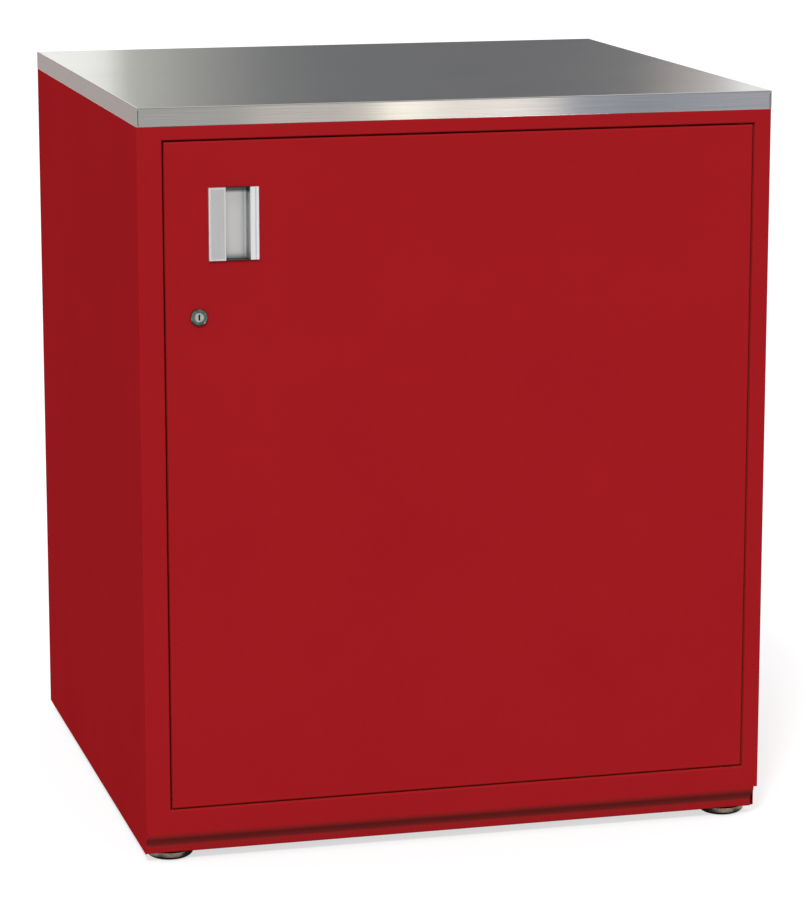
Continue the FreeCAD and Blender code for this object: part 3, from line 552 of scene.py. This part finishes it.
def plated(name, dark, light, bright, rough):
    """A plated steel or die casting: clouded plate, rubbed bright along its edges, which also paints a
    highlight there, and darker in corners, partly tarnished and partly painted shade.
    """
    look = Look(name, metal=1.0)
    cloud = look.clouds(size=0.004, detail=5.0, rough=0.65)
    tarnish_and_shade = [part * tarnish_and_shade_share for part in dark]
    # Painted shade with tarnishing: darker in corners and recesses
    recess = look.spread(look.hollow(reach=0.006), low=0.35, high=0.9, to_high=0.8)
    colour = look.between(cloud, dark, light)
    # Rubbed bright along the edges, which also paints a highlight there
    colour = look.tint(colour, look.edge(radius=0.0007), bright, share=0.7)
    colour = look.tint(colour, recess, tarnish_and_shade)
    roughness = look.stretched(look.grain(size=0.012, detail=4.0), *rough)
    pitting = look.grain(size=0.0006, detail=2.0)
    normal = look.relief(pitting, depth=0.000008, under=look.rounded(radius=0.0004))
    return look.finish(colour, roughness, normal)


def moulded(name, dark, light, rough, skin_depth, specular):
    """A moulding with a spark-eroded skin, a little paler where edges are handled."""
    look = Look(name, specular=specular)
    skin = look.grain(size=0.0007, detail=3.0)
    cloud = look.clouds(size=0.01, detail=4.0)
    colour = look.between(look.weakened(cloud, share=0.6), dark, light)
    colour = look.tint(colour, look.edge(radius=0.0008), light, share=0.5)
    roughness = look.stretched(skin, *rough)
    normal = look.relief(skin, skin_depth, under=look.rounded(radius=0.0005))
    return look.finish(colour, roughness, normal)


def chipboard():
    """Raw particle board: pale and dark chips pressed together, with painted shade in the hollows between
    them.
    """
    look = Look("chipboard", specular=0.2)
    chip_size = 0.0028
    chip = look.node("SeparateColor")
    look.feed(chip.inputs[0], look.cells(chip_size, output="Color"))
    fibre = look.grain(size=0.0012, stretch=(3, 1, 1), detail=4.0)
    # Painted shade: darker in hollows, where shade falls
    recess = look.spread(look.hollow(reach=0.004), low=0.2, high=0.7, to_high=0.9)
    colour = look.between(chip.outputs[0], board_colours["chip_dark"], board_colours["chip_light"])
    colour = look.tint(colour, look.spread(fibre, low=0.45, high=0.8), board_colours["fibre"])
    colour = look.tint(colour, recess, board_colours["hollow"])
    roughness = look.stretched(fibre, to_low=0.75, to_high=0.95)
    normal = look.relief(look.cells(chip_size), depth=0.0003)
    return look.finish(colour, roughness, normal)


def add_to_scene(name, data):
    piece = bpy.data.objects.new(name, data)
    bpy.context.scene.collection.objects.link(piece)
    return piece


def mesh_from(made, name):
    """Turns a bmesh into a mesh, and frees it."""
    mesh = bpy.data.meshes.new(name)
    made.to_mesh(mesh)
    made.free()
    return mesh


def thread_height(phase):
    """The thread's height above its root, 0 to 1, along one turn: flat root, two flanks, flat crest."""
    from_crest = abs(phase - round(phase))
    return min(1.0, max(0.0, (thread_root_start - from_crest) / thread_flank))


def threaded_mesh(low, high):
    """A right-hand thread between two heights, bevelled at both ends and closed by flat ends."""
    middle_x = (low[0] + high[0]) / 2
    middle_y = (low[1] + high[1]) / 2
    crest = (high[0] - low[0]) / 2
    root = crest - thread_depth
    length = high[2] - low[2]
    rows = round(length / thread_pitch * thread_rows)
    made = bmesh.new()
    rings = []
    for row in range(rows + 1):
        rise = length * row / rows
        from_end = min(rise, length - rise)
        limit = root + thread_depth * min(1.0, from_end / stud_bevel)
        ring = []
        for side in range(thread_sides):
            turn = side / thread_sides
            angle = 2 * math.pi * turn
            radius = min(limit, root + thread_depth * thread_height(rise / thread_pitch - turn))
            x = middle_x + radius * math.cos(angle)
            y = middle_y + radius * math.sin(angle)
            ring.append(made.verts.new((x, y, low[2] + rise)))
        rings.append(ring)
    for lower, upper in zip(rings, rings[1:]):
        for side in range(thread_sides):
            after = (side + 1) % thread_sides
            made.faces.new((lower[side], lower[after], upper[after], upper[side]))
    made.faces.new(list(reversed(rings[0])))
    made.faces.new(rings[-1])
    return mesh_from(made, "thread")


def cut_driver_slot(piece, low, high):
    """Cuts the screwdriver slot across the top of a stud, with a block whose middle is at the top."""
    made = bmesh.new()
    bmesh.ops.create_cube(made, size=1.0)
    middle_x = (low[0] + high[0]) / 2
    middle_y = (low[1] + high[1]) / 2
    block_length = 2 * (high[1] - low[1])
    block_height = 2 * driver_slot_depth
    for corner in made.verts:
        corner.co = (
            middle_x + corner.co.x * driver_slot_width,
            middle_y + corner.co.y * block_length,
            high[2] + corner.co.z * block_height,
        )
    cutter = add_to_scene("slot_cutter", mesh_from(made, "slot_cutter"))
    cut = piece.modifiers.new("slot", "BOOLEAN")
    cut.operation = "DIFFERENCE"
    cut.object = cutter
    graph = bpy.context.evaluated_depsgraph_get()
    piece.data = bpy.data.meshes.new_from_object(piece.evaluated_get(graph))
    piece.modifiers.clear()
    bpy.data.objects.remove(cutter)


def dress_in(piece, material):
    piece.data.materials.clear()
    piece.data.materials.append(material)


def make_threads(material):
    """Gives each foot a threaded stud with a screwdriver slot, in place of its plain rod."""
    for place in foot_places:
        node = "foot_stud_" + place
        low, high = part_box(node)
        piece = add_to_scene("threaded_stud_" + place, threaded_mesh(low, high))
        cut_driver_slot(piece, low, high)
        dress_in(piece, material)
        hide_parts(node)
        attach(piece, "stud_" + place)


def make_materials():
    """Every material, by name."""
    made = {
        "powder_coat": powder_coat("powder_coat"),
        "powder_coat_kick": powder_coat("powder_coat_kick", shade_banded=True),
        "brushed_stainless": brushed_stainless(),
        "chipboard": chipboard(),
        "satin_aluminium": satin_aluminium(),
    }
    for name, finish in plated_finishes.items():
        made[name] = plated(name, **finish)
    for name, finish in moulded_finishes.items():
        made[name] = moulded(name, **finish)
    return made


def dress(materials):
    """Gives every solid its material."""
    for node, piece in nodes.items():
        chosen = "powder_coat"
        for name, words in words_of_material.items():
            if any(word in node for word in words):
                chosen = name
                break
        dress_in(piece, materials[chosen])


def make_camera():
    data = bpy.data.cameras.new("camera")
    data.lens = camera_lens
    data.clip_end = camera_reach
    camera = add_to_scene("camera", data)
    forward = Vector((
        math.sin(camera_yaw) * math.cos(camera_pitch),
        math.cos(camera_yaw) * math.cos(camera_pitch),
        -math.sin(camera_pitch),
    ))
    camera.location = camera_place
    camera.rotation_mode = "QUATERNION"
    camera.rotation_quaternion = forward.to_track_quat("-Z", "Y")
    bpy.context.scene.camera = camera


def background_rays(tree):
    """1 for the rays that see the background itself, and not for those that light the object."""
    path = tree.nodes.new("ShaderNodeLightPath")
    total = path.outputs["Is Camera Ray"]
    for name in ("Is Glossy Ray", "Is Transmission Ray"):
        most = tree.nodes.new("ShaderNodeMath")
        most.operation = "MAXIMUM"
        tree.links.new(total, most.inputs[0])
        tree.links.new(path.outputs[name], most.inputs[1])
        total = most.outputs[0]
    return total


def make_world():
    """A white studio, which gives surfaces a little less light than it shows."""
    world = bpy.data.worlds.new("white_studio")
    bpy.context.scene.world = world
    world.use_nodes = True
    tree = world.node_tree
    ground = tree.nodes["Background"]
    ground.inputs["Color"].default_value = (1, 1, 1, 1)
    level = tree.nodes.new("ShaderNodeMapRange")
    level.inputs["To Min"].default_value = sky_light
    level.inputs["To Max"].default_value = white_level
    tree.links.new(background_rays(tree), level.inputs["Value"])
    tree.links.new(level.outputs["Result"], ground.inputs["Strength"])


def make_floor():
    """A pale floor that shows white and keeps the shadow."""
    made = bmesh.new()
    bmesh.ops.create_grid(made, x_segments=1, y_segments=1, size=floor_reach)
    floor = add_to_scene("floor", mesh_from(made, "floor"))
    material = bpy.data.materials.new("pale_floor")
    material.use_nodes = True
    tree = material.node_tree
    shader = tree.nodes["Principled BSDF"]
    shader.inputs["Base Color"].default_value = (floor_grey, floor_grey, floor_grey, 1)
    shader.inputs["Roughness"].default_value = floor_roughness
    shader.inputs["Specular IOR Level"].default_value = 0.0
    shader.inputs["Emission Color"].default_value = (1, 1, 1, 1)
    lift = tree.nodes.new("ShaderNodeMath")
    lift.operation = "MULTIPLY"
    lift.inputs[1].default_value = floor_lift
    tree.links.new(background_rays(tree), lift.inputs[0])
    tree.links.new(lift.outputs[0], shader.inputs["Emission Strength"])
    dress_in(floor, material)


def tone_along_width(tree, tones):
    """Colours along a card's width, between its tones."""
    place = tree.nodes.new("ShaderNodeTexCoord")
    split = tree.nodes.new("ShaderNodeSeparateXYZ")
    ramp = tree.nodes.new("ShaderNodeValToRGB")
    tree.links.new(place.outputs["Generated"], split.inputs[0])
    tree.links.new(split.outputs["X"], ramp.inputs["Fac"])
    stops = ramp.color_ramp.elements
    while len(stops) < len(tones):
        stops.new(0.5)
    for stop, (position, colour) in zip(stops, tones):
        stop.position = position
        stop.color = colour
    return ramp.outputs["Color"]


def make_card(name, card):
    """A card that only reflections see, toned along its width."""
    (left, front, low), (right, back, high) = card["corners"]
    mesh = bpy.data.meshes.new(name)
    if low == high:
        corners = [(left, front, low), (right, front, low), (right, back, low), (left, back, low)]
    else:
        corners = [(left, front, low), (right, back, low), (right, back, high), (left, front, high)]
    mesh.from_pydata(corners, [], [range(len(corners))])
    piece = add_to_scene(name, mesh)
    piece.visible_camera = False
    piece.visible_diffuse = False
    piece.visible_shadow = False
    piece.visible_transmission = False
    material = bpy.data.materials.new(name)
    material.use_nodes = True
    tree = material.node_tree
    tree.nodes.remove(tree.nodes["Principled BSDF"])
    glow = tree.nodes.new("ShaderNodeEmission")
    glow.inputs["Strength"].default_value = card_glow
    tones = [(position, [part / card_glow for part in colour] + [1]) for position, colour in card["tones"]]
    if len(tones) == 1:
        glow.inputs["Color"].default_value = tones[0][1]
    else:
        tree.links.new(tone_along_width(tree, tones), glow.inputs["Color"])
    tree.links.new(glow.outputs[0], tree.nodes["Material Output"].inputs["Surface"])
    dress_in(piece, material)


def make_sun():
    """One soft sun, which metal doesn't mirror: its streak would burn the brushed worktop out from behind."""
    data = bpy.data.lights.new("sun", "SUN")
    data.energy = sun_strength
    data.angle = sun_softness
    sun = add_to_scene("sun", data)
    sun.visible_glossy = False
    sun.rotation_mode = "QUATERNION"
    sun.rotation_quaternion = Vector(sun_direction).to_track_quat("-Z", "Y")


materials = make_materials()
dress(materials)
make_threads(materials["bright_zinc"])
make_camera()
make_world()
make_floor()
for name, card in cards.items():
    make_card(name, card)
make_sun()
bpy.context.scene.view_settings.view_transform = "Standard"
